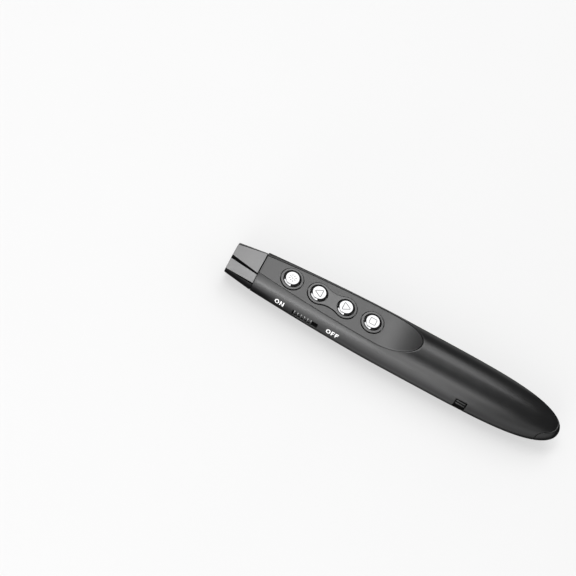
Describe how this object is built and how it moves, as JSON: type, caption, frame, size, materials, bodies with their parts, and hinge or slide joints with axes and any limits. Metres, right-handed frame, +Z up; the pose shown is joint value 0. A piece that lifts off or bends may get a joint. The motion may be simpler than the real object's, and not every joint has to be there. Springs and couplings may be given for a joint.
{
  "type": "wireless presentation clicker",
  "caption": "Pen-shaped wireless presentation clicker with chromed keys on a flat keypad facet, a silver laser nose, a side power slide, a snap-off battery cover and a USB receiver in the tail.",
  "frame": {"origin": "centre of the belly flat that the pen rests on, midway between nose face and tail tip", "axes": "+X along the pen towards the tail, +Z up out of the keypad, +Y to the right-hand side seen from the tail end looking at the nose"},
  "size_m": [0.1438, 0.021, 0.0203],
  "materials": {
    "shell_black": "soft-touch black paint on ABS",
    "panel_grey": "satin dark grey metallic paint",
    "nose_black": "moulded black, satin",
    "nose_silver": "fine silver metallic paint, satin",
    "key_chrome": "bright chrome plating with pad-printed symbols",
    "knob_black": "glossy black",
    "window_red": "dark red acrylic",
    "brass": "turned brass",
    "lens_glass": "clear",
    "steel": "nickel plated",
    "board_green": "solder mask",
    "part_black": "moulded epoxy",
    "part_tan": "ceramic",
    "chassis_grey": "moulded ABS",
    "cell_label": "shrink sleeve",
    "cell_can": null,
    "spring_steel": "nickel plated wire",
    "wire_red": "insulated",
    "foam": "closed-cell foam",
    "plug_steel": "nickel plated",
    "tongue_white": "moulded",
    "contact_gold": "gold flashed"
  },
  "bodies": {
    "handset": {"upper_shell": "shell_black", "lower_front_shell": "shell_black", "lower_tail_shell": "shell_black", "top_panel": "panel_grey", "keypad_frame": "panel_grey", "nose_core": "nose_black", "nose_top_plate": "nose_silver", "nose_left_plate": "nose_silver", "nose_right_plate": "nose_silver", "laser_window": "window_red", "laser_barrel": "brass", "laser_lens": "lens_glass", "laser_diode": "brass", "laser_driver_board": "board_green", "laser_leads": "wire_red", "main_board": "board_green", "tact_switch_cases": "part_black", "controller_chip": "part_black", "crystal_can": "steel", "board_components": "part_tan", "power_switch_case": "steel", "battery_chassis": "chassis_grey", "battery_can": "cell_can", "battery_sleeve": "cell_label", "battery_cap": "steel", "positive_contact": "steel", "negative_contact": "steel", "battery_spring": "spring_steel", "battery_leads": "wire_red", "case_screws": "steel", "receiver_bay": "chassis_grey"},
    "laser_button": {"laser_key": "key_chrome", "laser_plunger": "part_black"},
    "page_forward_button": {"page_forward_key": "key_chrome", "page_forward_plunger": "part_black"},
    "page_back_button": {"page_back_key": "key_chrome", "page_back_plunger": "part_black"},
    "blank_screen_button": {"blank_screen_key": "key_chrome", "blank_screen_plunger": "part_black"},
    "power_slide": {"power_knob": "knob_black", "power_lever": "steel"},
    "cover": {"battery_cover": "shell_black", "cover_foam_pad": "foam"},
    "usb_receiver": {"receiver_cap": "shell_black", "usb_plug_shell": "plug_steel", "usb_tongue": "tongue_white", "usb_contacts": "contact_gold", "receiver_board": "board_green"}
  },
  "joints": [
    {"name": "laser_button_press", "type": "slide", "parent": "handset", "child": "laser_button", "axis": [0, 0, -1], "range_m": [0, 0.0004], "stiffness_N_per_m": 1500, "springref_m": -0.0002},
    {"name": "page_forward_button_press", "type": "slide", "parent": "handset", "child": "page_forward_button", "axis": [0, 0, -1], "range_m": [0, 0.0004], "stiffness_N_per_m": 1500, "springref_m": -0.0002},
    {"name": "page_back_button_press", "type": "slide", "parent": "handset", "child": "page_back_button", "axis": [0, 0, -1], "range_m": [0, 0.0004], "stiffness_N_per_m": 1500, "springref_m": -0.0002},
    {"name": "blank_screen_button_press", "type": "slide", "parent": "handset", "child": "blank_screen_button", "axis": [0, 0, -1], "range_m": [0, 0.0004], "stiffness_N_per_m": 1500, "springref_m": -0.0002},
    {"name": "power_slide_travel", "type": "slide", "parent": "handset", "child": "power_slide", "axis": [1, 0, 0], "range_m": [0, 0.0023]},
    {"name": "cover_pull_off", "type": "slide", "parent": "handset", "child": "cover", "axis": [0, 0, -1], "range_m": [0, 0.016]},
    {"name": "receiver_pull_out", "type": "slide", "parent": "handset", "child": "usb_receiver", "axis": [1, 0, 0], "range_m": [0, 0.016]}
  ]
}
